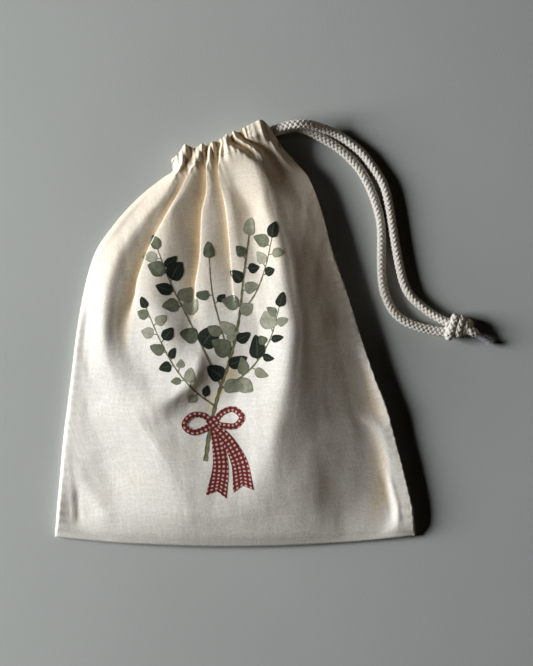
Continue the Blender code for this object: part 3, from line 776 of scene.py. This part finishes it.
def painted_fold_shade(grid):
    """How deep in a fold each point of the cloth lies: 0 on a crest, 1 in a valley between two high crests.
    It sets painted shade: the cotton is tinted tan there, and also, more weakly, towards the gathered mouth."""
    x, z = grid[..., 0], grid[..., 2]
    crests = []
    for way in (1, -1):
        crest = z.copy()
        for far in (2, 4, 6, 9, 12, 16, 20):
            moved = np.roll(z, way * far, axis=1)
            gap = np.abs(np.roll(x, way * far, axis=1) - x)
            edge = np.arange(z.shape[1]) < far if way > 0 else np.arange(z.shape[1]) >= z.shape[1] - far
            crest = np.maximum(crest, np.where((gap < 26) & ~edge[None], moved - 0.08 * gap, z))
        crests.append(crest)
    valley = np.clip((np.minimum(*crests) - z) / 2.6, 0, 1) ** 0.8
    return np.clip(valley + 0.5 * eased(rise(V[:, None], 130, 110.0)), 0, 1)


def grid_normals(grid):
    return units(np.cross(np.gradient(grid, axis=1), np.gradient(grid, axis=0)))


def cloth_piece(name, grid, down):
    """A sheet with the thickness of the cloth, from the grid of its outer face."""
    rows, cols = grid.shape[:2]
    normals = grid_normals(grid)
    if down:
        normals = -normals
    verts = np.concatenate([grid.reshape(-1, 3), (grid - normals * CLOTH).reshape(-1, 3)]) * MM
    index = np.arange(rows * cols).reshape(rows, cols)
    outer = np.stack([index[:-1, :-1], index[:-1, 1:], index[1:, 1:], index[1:, :-1]], axis=-1).reshape(-1, 4)
    loop = np.concatenate([index[0, :-1], index[:-1, -1], index[-1, :0:-1], index[:0:-1, 0]])
    after = np.roll(loop, -1)
    rim = np.stack([after, loop, loop + rows * cols, after + rows * cols], axis=-1)
    if down:
        outer, rim = outer[:, ::-1], rim[:, ::-1]
    piece = new_piece(name, verts, np.concatenate([outer, outer[:, ::-1] + rows * cols, rim]), cotton_cloth)
    flat = arc_flat(grid).reshape(-1, 3)
    store(piece, "flat", np.concatenate([flat, flat + [0.0013, 0.0007, 0.0]]))
    # Painted shade for the cotton's tan tint in fold valleys and towards the mouth
    depth = painted_fold_shade(grid).ravel()
    store(piece, "fold", np.concatenate([depth, depth]))
    return piece


front_grid = front_surface()
front = cloth_piece("pouch_front", front_grid, down=False)

# ---------------- back sheet

FLOOR_GAP = 0.52  # height of the back's outer face where it lies on the floor
CHANNEL_GAP = 0.55  # the same along the channel
PLEATS = 15
CHANNEL_FROM = 266  # place up the sheet
TOP_LINE = 124.2  # plan y of the chord between the mouth's ends, where x is that of MOUTH_START
CORD_BULGE = 3.1  # how far the fold stands out past that chord, round the cord


def lift_length(edge_z):
    """How far in from its raised edge the back takes to come down to the floor."""
    return 1.2 + 0.75 * edge_z


def back_surface():
    """The back lies on the floor, gathers towards the mouth and turns over there into its own hem."""
    cols = 181
    s = np.linspace(0, 1, cols)
    left, right = front_grid[:, 0], front_grid[:, -1]
    grid = left[:, None] + (right - left)[:, None] * s[None, :, None]
    x, y = grid[..., 0], grid[..., 1]
    v = V[:, None] * np.ones((1, cols))
    from_edge = np.minimum(x - x[:, :1], x[:, -1:] - x)
    # Near the edges it comes up to meet the front
    edge_z = np.maximum(np.where(s[None] < 0.5, left[:, None, 2], right[:, None, 2]) - 0.62, 0.75)
    z = FLOOR_GAP + (edge_z - FLOOR_GAP) * np.exp(-from_edge / lift_length(edge_z)) + np.exp(-v / 2.0) * 0.8
    uneven = 2.0 * field(s[None] * 40 + v * 0, v, 11, 60, 9.1)
    fold = 0.5 + 0.5 * np.sin(2 * math.pi * PLEATS * s[None] + uneven)
    z = z + rise(v, 105, 160) ** 1.2 * rise(from_edge, 0, 12.0) * fold * 6.2
    z = z + 0.25 * rise(from_edge, 0, 10) * (1 + field(x, y, 16, 23, 12.2))
    # The channel: its outer face on the floor, then over the top fold, then its inner face above the cord
    chan, outer = rise(v, CHANNEL_FROM, 6), CHANNEL_GAP + 0.5 * fold
    z = np.where(v <= V_TOP, z * (1 - chan) + (outer + (edge_z - outer) * np.exp(-from_edge / 3.0)) * chan, z)
    top_z = CHANNEL_GAP + 6.9 * np.sin(rise(v, V_TOP, 4.5) * math.pi / 2)
    shut = rise(v, 300, 6)
    top_z = top_z * (1 - shut) + (1.6 + 4.0 * fold) * shut
    inner_z = np.maximum(top_z, CHANNEL_GAP) + (edge_z - top_z) * np.exp(-from_edge / 1.5) * 0.6
    z = np.where(v > V_TOP, inner_z, z)
    scallop = 1.3 * np.sin(2 * math.pi * PLEATS * s[None] * 0.8 + 0.7) * np.exp(-np.abs(v - V_TOP) / 4.0)
    x, y = x + scallop * ACROSS[0], y + scallop * ACROSS[1]
    # Its top edge is straighter than the front's
    line = TOP_LINE + (x - MOUTH_START[0]) * math.tan(MOUTH_ANGLE)
    y = np.where(v > 262, line + np.clip(y - line, None, 6.2 + 0.6 * np.sin(x)), y)
    y = y + CORD_BULGE * rise(v, 270, 8) * fall(v, 304, 13) * rise(from_edge, 0, 6)
    return np.stack([x, y, np.maximum(z, 0.5)], axis=-1)


back_grid = back_surface()
back = cloth_piece("pouch_back", back_grid, down=True)

# ---------------- seams inside, stitches and tacks

SEAM_PRESSED = 1.1  # height of the seam where it lies flat
# How far in from the seam, and how high, round a section of its allowance
SEAM_SECTION = [(1.6, 1.02), (1.5, 1.5), (4, 1.72), (7, 1.62), (8.6, 1.5), (8.9, 1.2), (8.4, 1.02), (5, 1)]


def seam_strip(name, edge, inward, heights, replaced):
    """A seam's allowance: two layers pressed to one side, its raw edge overcast. Heights are of its edge."""
    edge = edge * [1, 1, 0]
    verts, flat = [], []
    for i, (point, height) in enumerate(zip(edge, heights)):
        for j, (far, high) in enumerate(SEAM_SECTION):
            rough = 0.18 * math.sin(i * 1.9 + j) if 3 <= j <= 6 else 0.0
            raised = max((height - SEAM_PRESSED) * math.exp(-far / lift_length(height)), 0.0)
            verts.append(point + np.array(inward) * (far + rough) + np.array([0, 0, high + raised]))
            flat.append((i * 2.0 * MM, far * MM, 0.0))
    piece = new_piece(name, np.array(verts) * MM, tube_faces(len(edge), len(SEAM_SECTION), 0), cotton_cloth)
    store(piece, "flat", flat)
    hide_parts(replaced)
    return piece


lower_rows = [i for i in range(len(V)) if 12 < V[i] < 236][::2]
left_edge, right_edge = front_grid[lower_rows, 0][::-1], front_grid[lower_rows, -1]
bottom_edge = front_grid[0, 20:-12:3]
seam_left = seam_strip("seam_left", left_edge, (1.0, 0, 0), left_edge[:, 2], "seam_allowance_left")
seam_right = seam_strip("seam_right", right_edge, (-1.0, 0, 0), right_edge[:, 2], "seam_allowance_right")
seam_bottom = seam_strip("seam_bottom", bottom_edge, (0, 1.0, 0), np.ones(len(bottom_edge)),
                         "seam_allowance_bottom")


def thread_piece(name, verts, faces, flat):
    piece = new_piece(name, np.array(verts) * MM, faces, thread_yarn)
    store(piece, "flat", flat)
    # Sewing thread gets no painted shade: its crown is 1 all over
    store(piece, "crown", np.ones(len(verts)))
    return piece


STITCH_PLACE, TACK_PLACE = 269.0, 266.0  # up the sheet
STITCH_PITCH, STITCH_LENGTH, STITCH_RADIUS = 2.9, 2.1, 0.27
TACK_TURNS, TACK_STEP, TACK_HALF, TACK_RADIUS = 23, 0.28, 0.72, 0.24  # turns, their spacing, half its width


def stitches(name, line, normals, lift):
    """Separate lock stitches along a line on the cloth: each rises, lies and dips back."""
    far = far_along(line)
    verts, faces, flat = [], [], []
    sides, steps = 6, 7
    bulge = np.sin(np.linspace(0, math.pi, steps))
    size = STITCH_RADIUS * (0.55 + 0.45 * bulge ** 0.4)
    at = STITCH_PITCH * 0.5
    while at + STITCH_LENGTH < far[-1]:
        places = np.linspace(at, at + STITCH_LENGTH, steps)
        centre = np.stack([np.interp(places, far, line[:, k]) for k in range(3)], axis=1)
        out = units(np.stack([np.interp(places, far, normals[:, k]) for k in range(3)], axis=1))
        centre = centre + out * (lift + STITCH_RADIUS * (0.9 * bulge ** 0.5 - 0.5))[:, None]
        run = units(np.gradient(centre, axis=0))
        side = units(np.cross(run, out))
        faces.extend(tube_faces(steps, sides, len(verts)))
        verts.extend(rings(centre, np.cross(side, run), side, size, size, sides))
        flat += [(p * MM, 2 * math.pi * j / sides * 0.3 * MM, 0.0) for p in places for j in range(sides)]
        at += STITCH_PITCH
    return thread_piece(name, verts, faces, flat)


def bartack(name, centre):
    """A dense little zigzag that holds the seam's end at the cord's exit."""
    zigzag = [centre + ACROSS * (k * TACK_STEP - 3.0) + ALONG * (TACK_HALF if k % 2 else -TACK_HALF)
              for k in range(TACK_TURNS)]
    path = evenly(zigzag, 0.35)
    side_n, out_n = normals_along(path)
    radius = np.full(len(path), TACK_RADIUS)
    verts = rings(path, out_n, side_n, radius, radius, 5)
    return thread_piece(name, verts, tube_faces(len(path), 5, 0), verts * MM)


stitch_row, tack_row = [int(np.argmin(np.abs(V - place))) for place in (STITCH_PLACE, TACK_PLACE)]
front_normals, back_normals = grid_normals(front_grid), grid_normals(back_grid)
front_stitches = stitches("channel_stitches_front", front_grid[stitch_row, 4:-4],
                          front_normals[stitch_row, 4:-4], 0.1)
back_stitches = stitches("channel_stitches_back", back_grid[stitch_row, 6:-6],
                         -back_normals[stitch_row, 6:-6], -0.05)
front_tack = bartack("exit_tack_front", front_grid[tack_row, -7] + front_normals[tack_row, -7] * 0.3)
back_tack = bartack("exit_tack_back", back_grid[tack_row, -5] + back_normals[tack_row, -5] * 0.3)

# ---------------- print

# The part of the front's outer face that ink can lie on
top_limit = int(np.argmin(np.abs(V - 262)))
tree_faces = [tuple(p.vertices) for p in front.data.polygons[: top_limit * (front_grid.shape[1] - 1)]]
tree_verts = [v.co.copy() for v in front.data.vertices[: front_grid.shape[0] * front_grid.shape[1]]]
cloth_tree = BVHTree.FromPolygons(tree_verts, tree_faces)
front_flat = arc_flat(front_grid).reshape(-1, 3)
DECAL_LIFT = 0.11
LEAF_CELL, STEM_CELL, RIBBON_CELL = 0.8, 1.0, 0.8  # spacing of each grid


def on_cloth(x, y, lift):
    """The point of the front cloth under a plan point, lifted off it, and the cloth's own coordinates there."""
    hit, normal, face, _ = cloth_tree.ray_cast(Vector((x * MM, y * MM, 0.2)), Vector((0, 0, -1)))
    corners = tree_faces[face]
    weights = poly_3d_calc([tree_verts[i] for i in corners], hit)
    return hit + normal * lift * MM, sum(front_flat[i] * w for i, w in zip(corners, weights))


class Decal:
    """A thin layer of ink made of small grids that follow the cloth."""

    def __init__(self):
        self.verts, self.faces, self.flat, self.leaf, self.tone = [], [], [], [], []

    def patch(self, plan, local, tone, lift):
        """plan: (rows, cols, 2) in millimetres. local: the same shape, the print's own coordinates."""
        rows, cols = plan.shape[:2]
        first = len(self.verts)
        for i in range(rows):
            for j in range(cols):
                point, flat = on_cloth(*plan[i, j], lift)
                self.verts.append(point)
                self.flat.append(flat)
                self.leaf.append((*local[i, j], 0.0))
                self.tone.append(tone)
        for i in range(rows - 1):
            for j in range(cols - 1):
                a = first + i * cols + j
                self.faces.append((a, a + 1, a + 1 + cols, a + cols))

    def piece(self, name, material):
        piece = new_piece(name, self.verts, self.faces, material)
        if sum(p.normal.z for p in piece.data.polygons) < 0:
            piece.data.flip_normals()
        store(piece, "flat", self.flat)
        store(piece, "leaf", self.leaf)
        store(piece, "tone", self.tone)
        return piece


leaves, stems, ribbon = Decal(), Decal(), Decal()


def leaf_at(base, heading, length, width, tone, lift):
    """A round leaf on the cloth: base where it meets its stalk, heading in degrees."""
    c, s = facing(heading)
    rows, cols = max(8, int(length / LEAF_CELL)), max(7, int(width / LEAF_CELL))
    u, v = np.meshgrid(np.linspace(0, 1, rows), np.linspace(-1, 1, cols), indexing="ij")
    outline = np.sin(math.pi * u ** 0.62) ** 0.72 * (1.0 + 0.05 * np.sin(9 * u + heading))
    bend = 0.10 * length * np.sin(math.pi * u) * math.sin(heading)
    notch = 0.10 * length * (np.abs(v) * (1 - u) ** 4)
    px, py = u * length - notch, v * outline * width / 2 + bend
    plan = np.stack([base[0] + px * c - py * s, base[1] + px * s + py * c], axis=-1)
    leaves.patch(plan, np.stack([u, v], axis=-1), tone, lift)


def track(points, step):
    """A smooth plan path, with its direction and its left side at each point."""
    path = evenly(curve_through([(a, b, 0.0) for a, b in points], 10), step)[:, :2]
    run = units(np.gradient(path, axis=0))
    return path, run, np.stack([-run[:, 1], run[:, 0]], axis=1)


def strip(path, side, wide, across):
    """Plan points over a strip's width, which across gives in shares."""
    return path[:, None] + side[:, None] * (across[None, :] * wide[:, None])[..., None]


def stem_along(points, wide_start, wide_end, lift=DECAL_LIFT):
    path, run, side = track(points, STEM_CELL)
    share = np.linspace(0, 1, len(path))
    wide = (wide_start + (wide_end - wide_start) * share) * (1 + 0.16 * np.sin(share * len(path) * 0.9))
    across = np.linspace(-0.5, 0.5, 4)
    local = np.stack(np.meshgrid(share, across * 2, indexing="ij"), axis=-1)
    stems.patch(strip(path, side, wide, across), local, 0.5, lift)
    return path, run


BRANCHES = [
    # points, width at start and end, first leaf, spacing, largest leaf
    ([(-20.5, -88), (-17, -64), (-11, -40), (-3, -16), (3, 12), (6, 40), (10, 70)], 2.9, 0.9, 56, 17.0, 16.0),
    ([(-13.6, -50), (-27, -40), (-41, -24), (-52, -4), (-62, 19)], 1.3, 0.5, 12, 12.0, 11.5),
    ([(-9.6, -36), (-21, -12), (-33, 12), (-45, 36), (-54, 60)], 1.5, 0.5, 20, 14.5, 14.5),
    ([(-3.6, -17), (-10, 6), (-16, 30), (-18, 54)], 1.2, 0.5, 15, 15.0, 14.0),
    ([(-10.5, -38), (4, -30), (16, -18), (25, -2), (31, 20)], 1.3, 0.5, 15, 13.5, 12.5),
    ([(3.4, 14), (14, 28), (21, 46), (26, 68)], 1.2, 0.5, 11, 13.5, 14.0),
]
TONES = (0.22, 0.80, 0.62, 0.30, 0.92, 0.26, 0.70, 0.86)
LONE_SHARE = 0.16  # of the leaf pairs that have only one leaf
count = 0
for points, wide_start, wide_end, first, spacing, largest in BRANCHES:
    path, run = stem_along(points, wide_start, wide_end)
    at = first
    while at < len(path) - 3:
        size = largest * (1.0 - 0.25 * at / len(path)) * (0.72 + 0.5 * rng.random())
        lone = rng.random() < LONE_SHARE
        for side in (1, -1):
            heading = math.degrees(math.atan2(run[at][1], run[at][0])) + side * (38 + 46 * rng.random())
            p = path[min(max(at + int(3.4 * side), 0), len(path) - 1)]
            stalk = 1.4 + 2.2 * rng.random()
            c, s = facing(heading)
            base = (p[0] + c * stalk, p[1] + s * stalk)
            grow = size * (0.66 + 0.5 * rng.random())
            narrow = 0.66 + 0.34 * rng.random()
            tone = TONES[count % len(TONES)] + 0.06 * (rng.random() - 0.5)
            count += 1
            if lone and side == (1 if count % 2 else -1):
                continue
            stem_along([tuple(p), (base[0] + c * 0.8, base[1] + s * 0.8)], 0.6, 0.45, DECAL_LIFT + 0.03)
            leaf_at(base, heading, grow, grow * narrow, tone, DECAL_LIFT + 0.04 + 0.02 * (count % 4))
        at += int(spacing * (0.8 + 0.4 * rng.random()))
    heading = math.degrees(math.atan2(run[-1][1], run[-1][0]))
    tip_size = largest * (0.62 + 0.2 * rng.random())
    tip_tone = TONES[(count * 3) % len(TONES)]
    leaf_at(tuple(path[-1]), heading, tip_size, tip_size * 0.7, tip_tone, DECAL_LIFT + 0.16)


def ribbon_along(points, wide_start, wide_end, tone, lift, notch=0.0):
    """A length of ribbon, its far end cut to a swallowtail as deep as notch."""
    path, run, side = track(points, RIBBON_CELL)
    far = np.linspace(0, chain_length(path), len(path))
    wide = wide_start + (wide_end - wide_start) * (far / far[-1]) ** 0.8
    across = np.linspace(-0.5, 0.5, 13)
    cut = notch * (1 - np.abs(across) * 2) * rise(far[:, None] / far[-1], 0.7, 0.3)
    plan = strip(path, side, wide, across) - run[:, None] * cut[..., None]
    local = np.stack([far[:, None] * np.ones_like(across)[None], across[None, :] * wide[:, None]], axis=-1)
    ribbon.patch(plan, local, tone, lift)


KNOT_AT = (-15.2, -62.0)
ribbon_along([KNOT_AT, (-12, -76), (-10, -92), (-13, -113)], 4.4, 14.5, 0.0, DECAL_LIFT + 0.06, 4.0)
ribbon_along([KNOT_AT, (-5, -74), (3, -89), (6, -109)], 4.4, 14.5, 0.0, DECAL_LIFT + 0.10, 4.0)
for loop in ([(-9, -54.5), (-1, -52), (5, -57.5), (0.5, -63.5), (-8, -63.5)],
             [(-22, -56.5), (-30, -56.5), (-35, -63), (-29.5, -68), (-21.5, -66)]):
    ribbon_along([KNOT_AT, *loop, KNOT_AT], 4.0, 4.4, 0.25, DECAL_LIFT + 0.14)
ribbon_along([(-17.8, -58.6), (-12.6, -65.4)], 6.4, 6.4, 0.0, DECAL_LIFT + 0.2)

print_leaves = leaves.piece("print_leaves", leaf_ink())
print_stems = stems.piece("print_stems", stem_ink())
print_ribbon = ribbon.piece("print_ribbon", ribbon_ink())

# ---------------- what moves with what

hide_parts("front_panel", "casing_front_gather_1", "casing_front_gather_2", "casing_front_gather_3",
            "casing_front_exit", "casing_closed_end")
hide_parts("back_panel", "casing_back_gather_1", "casing_back_gather_2", "casing_back_gather_3",
            "casing_back_exit")
for piece, node in ((front_stitches, "channel_stitching_front"), (back_stitches, "channel_stitching_back"),
                    (front_tack, "exit_bartack_front"), (back_tack, "exit_bartack_back")):
    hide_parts(node)
for piece in (front, back, seam_left, front_stitches, back_stitches, print_leaves, print_stems, print_ribbon):
    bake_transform(piece)
for piece in (seam_right, seam_bottom, front_tack, back_tack):
    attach(piece, "pouch")

# ---------------- floor and light

FLOOR_SIZE = 6.0  # metres
bpy.ops.mesh.primitive_plane_add(size=FLOOR_SIZE, location=(0.0, 0.0, 0.0))
floor = bpy.context.object
floor.name = "floor"
floor.data.materials.append(floor_paper())


def area_light(name, place, size, power, colour):
    """A rectangular light that faces the origin. Place and size (width, height) in metres."""
    data = bpy.data.lights.new(name, "AREA")
    data.shape = "RECTANGLE"
    data.size, data.size_y = size
    data.energy, data.color = power, colour
    light = bpy.data.objects.new(name, data)
    light.location = Vector(place)
    light.rotation_euler = (-light.location).to_track_quat("-Z", "Y").to_euler()
    bpy.context.scene.collection.objects.link(light)
    return light


WINDOW_ELEVATION, WINDOW_AZIMUTH, WINDOW_FAR = 19.0, 176.0, 2.1
level, up = facing(WINDOW_ELEVATION)
towards_x, towards_y = facing(WINDOW_AZIMUTH)
area_light("window", Vector((level * towards_x, level * towards_y, up)) * WINDOW_FAR, (1.0, 0.85), 88.0,
           (0.965, 0.985, 1.0))

# Light that has come through the cloth: a weak warm one that reaches only the pouch and the cord's tails
glow = area_light("through_cloth", (0.95, 0.0, 1.25), (1.6, 1.6), 1.6, (1.0, 0.76, 0.50))
lit_by_glow = bpy.data.collections.new("lit_by_glow")
for piece in (front, back, front_stitches, back_stitches, front_tack, back_tack, print_leaves, print_stems,
              print_ribbon, upper_tail, lower_tail, knot, stub, tip_sleeve):
    lit_by_glow.objects.link(piece)
glow.light_linking.receiver_collection = lit_by_glow

world = bpy.data.worlds.new("room")
world.use_nodes = True
background = world.node_tree.nodes["Background"]
background.inputs["Color"].default_value = rgb(1.0, 0.82, 0.58)
background.inputs["Strength"].default_value = 0.003
bpy.context.scene.world = world
